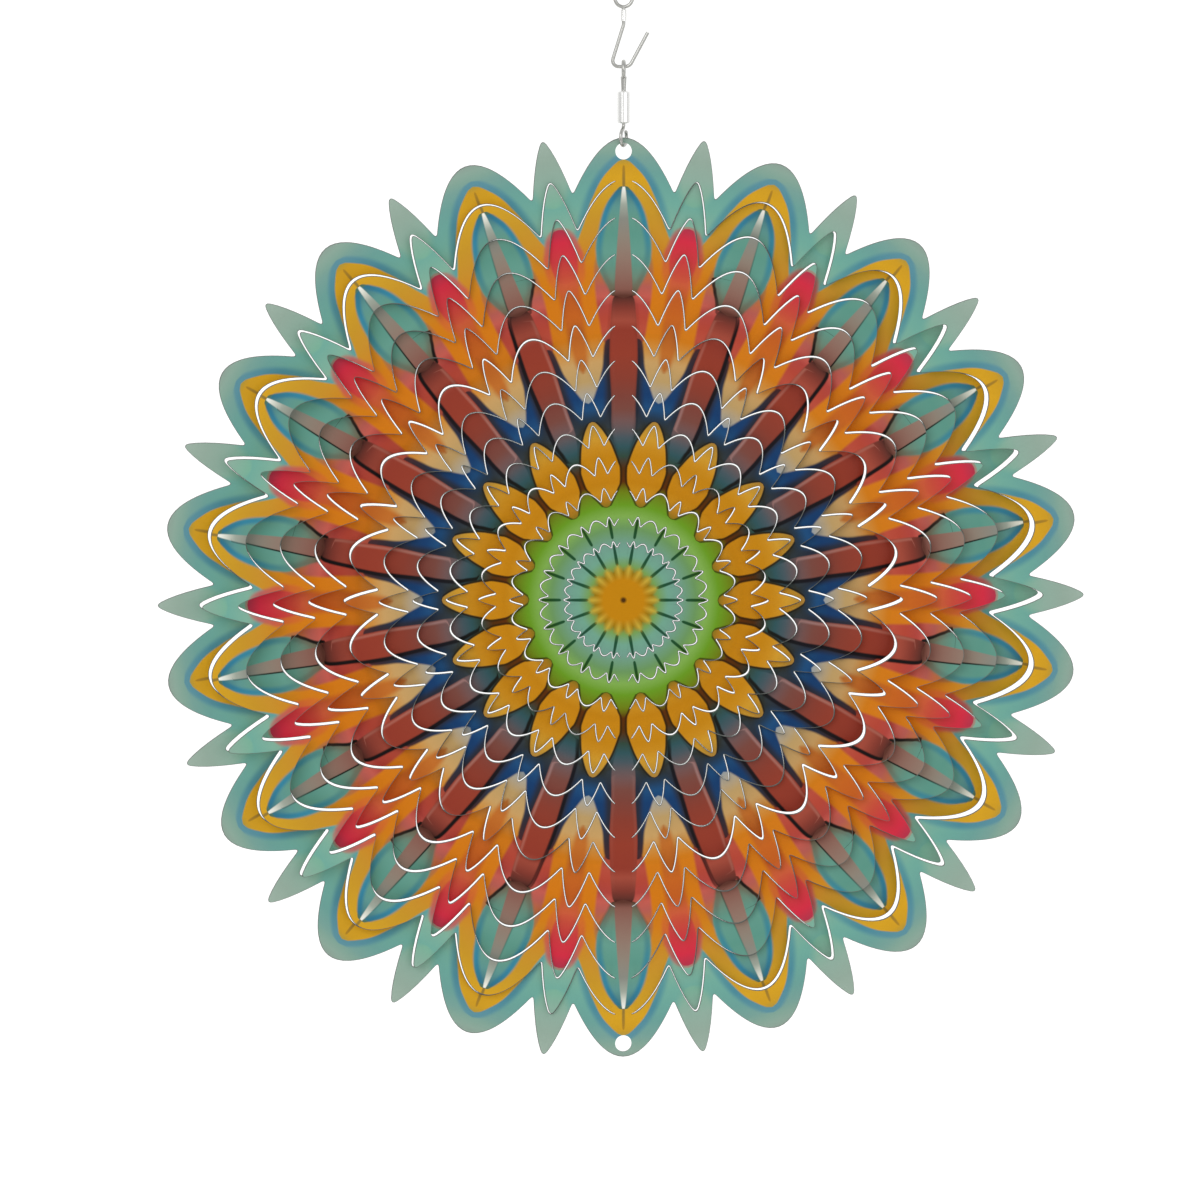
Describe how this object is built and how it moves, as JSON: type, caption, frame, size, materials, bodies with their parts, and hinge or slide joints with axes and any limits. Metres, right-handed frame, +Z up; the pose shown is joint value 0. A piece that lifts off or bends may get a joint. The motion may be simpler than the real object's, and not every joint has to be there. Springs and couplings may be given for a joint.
{
  "type": "kinetic wind spinner",
  "caption": "Hanging wind spinner: a printed steel sheet cut into nested scalloped rings that twist about a vertical line, under a ball bearing swivel and an open wire hook.",
  "frame": {"origin": "centre of the hanging eye at the top of the hook", "axes": "+Z up, along the line that the rings turn about; +X to the right across the sheet, +Y through it to the back"},
  "size_m": [0.3004, 0.0438, 0.3482],
  "materials": {
    "printed_sheet": "colour printed on both faces, bright cut edges",
    "spring_wire": "drawn stainless wire",
    "polished_steel": "polished",
    "bearing_steel": "ground and polished"
  },
  "bodies": {
    "hanger": {"hanging_hook": "spring_wire", "hook_sleeve": "polished_steel"},
    "swivel": {"swivel_eye": "spring_wire", "barrel_cap": "polished_steel", "barrel_shell": "polished_steel", "ball_race": "bearing_steel"},
    "ball_set": {"bearing_balls": "bearing_steel"},
    "spindle": {"lower_hook": "spring_wire", "thrust_collar": "bearing_steel"},
    "ring_01_body": {"ring_01": "printed_sheet"},
    "ring_02_body": {"ring_02": "printed_sheet"},
    "ring_03_body": {"ring_03": "printed_sheet"},
    "ring_04_body": {"ring_04": "printed_sheet"},
    "ring_05_body": {"ring_05": "printed_sheet"},
    "ring_06_body": {"ring_06": "printed_sheet"},
    "ring_07_body": {"ring_07": "printed_sheet"},
    "ring_08_body": {"ring_08": "printed_sheet"},
    "ring_09_body": {"ring_09": "printed_sheet"},
    "ring_10_body": {"ring_10": "printed_sheet"},
    "ring_11_body": {"ring_11": "printed_sheet"},
    "ring_12_body": {"ring_12": "printed_sheet"},
    "centre_body": {"centre_disc": "printed_sheet"}
  },
  "joints": [
    {"name": "swivel_swing", "type": "hinge", "parent": "hanger", "child": "swivel", "pos_m": [0, 0, -0.022], "axis": [1, 0, 0], "range_deg": [-45, 45]},
    {"name": "swivel_spin", "type": "hinge", "parent": "swivel", "child": "spindle", "pos_m": [0, 0, -0.0402], "axis": [0, 0, 1], "continuous": true},
    {"name": "balls_roll_round", "type": "hinge", "parent": "swivel", "child": "ball_set", "pos_m": [0, 0, -0.0402], "axis": [0, 0, 1], "continuous": true},
    {"name": "sheet_rock", "type": "hinge", "parent": "spindle", "child": "ring_01_body", "pos_m": [0, 0, -0.04742], "axis": [-0.1045, 0.9945, 0], "range_deg": [-20, 20]},
    {"name": "ring_02_turn", "type": "hinge", "parent": "ring_01_body", "child": "ring_02_body", "pos_m": [0, 0, -0.19482], "axis": [0, 0, 1], "range_deg": [-20, 20]},
    {"name": "ring_03_turn", "type": "hinge", "parent": "ring_02_body", "child": "ring_03_body", "pos_m": [0, 0, -0.19482], "axis": [0, 0, 1], "range_deg": [-20, 20]},
    {"name": "ring_04_turn", "type": "hinge", "parent": "ring_03_body", "child": "ring_04_body", "pos_m": [0, 0, -0.19482], "axis": [0, 0, 1], "range_deg": [-20, 20]},
    {"name": "ring_05_turn", "type": "hinge", "parent": "ring_04_body", "child": "ring_05_body", "pos_m": [0, 0, -0.19482], "axis": [0, 0, 1], "range_deg": [-20, 20]},
    {"name": "ring_06_turn", "type": "hinge", "parent": "ring_05_body", "child": "ring_06_body", "pos_m": [0, 0, -0.19482], "axis": [0, 0, 1], "range_deg": [-20, 20]},
    {"name": "ring_07_turn", "type": "hinge", "parent": "ring_06_body", "child": "ring_07_body", "pos_m": [0, 0, -0.19482], "axis": [0, 0, 1], "range_deg": [-20, 20]},
    {"name": "ring_08_turn", "type": "hinge", "parent": "ring_07_body", "child": "ring_08_body", "pos_m": [0, 0, -0.19482], "axis": [0, 0, 1], "range_deg": [-20, 20]},
    {"name": "ring_09_turn", "type": "hinge", "parent": "ring_08_body", "child": "ring_09_body", "pos_m": [0, 0, -0.19482], "axis": [0, 0, 1], "range_deg": [-20, 20]},
    {"name": "ring_10_turn", "type": "hinge", "parent": "ring_09_body", "child": "ring_10_body", "pos_m": [0, 0, -0.19482], "axis": [0, 0, 1], "range_deg": [-20, 20]},
    {"name": "ring_11_turn", "type": "hinge", "parent": "ring_10_body", "child": "ring_11_body", "pos_m": [0, 0, -0.19482], "axis": [0, 0, 1], "range_deg": [-20, 20]},
    {"name": "ring_12_turn", "type": "hinge", "parent": "ring_11_body", "child": "ring_12_body", "pos_m": [0, 0, -0.19482], "axis": [0, 0, 1], "range_deg": [-20, 20]},
    {"name": "centre_turn", "type": "hinge", "parent": "ring_12_body", "child": "centre_body", "pos_m": [0, 0, -0.19482], "axis": [0, 0, 1], "range_deg": [-20, 20]}
  ],
  "couplings": [
    {"joint": "balls_roll_round", "follows": "swivel_spin", "ratio": 0.5}
  ]
}
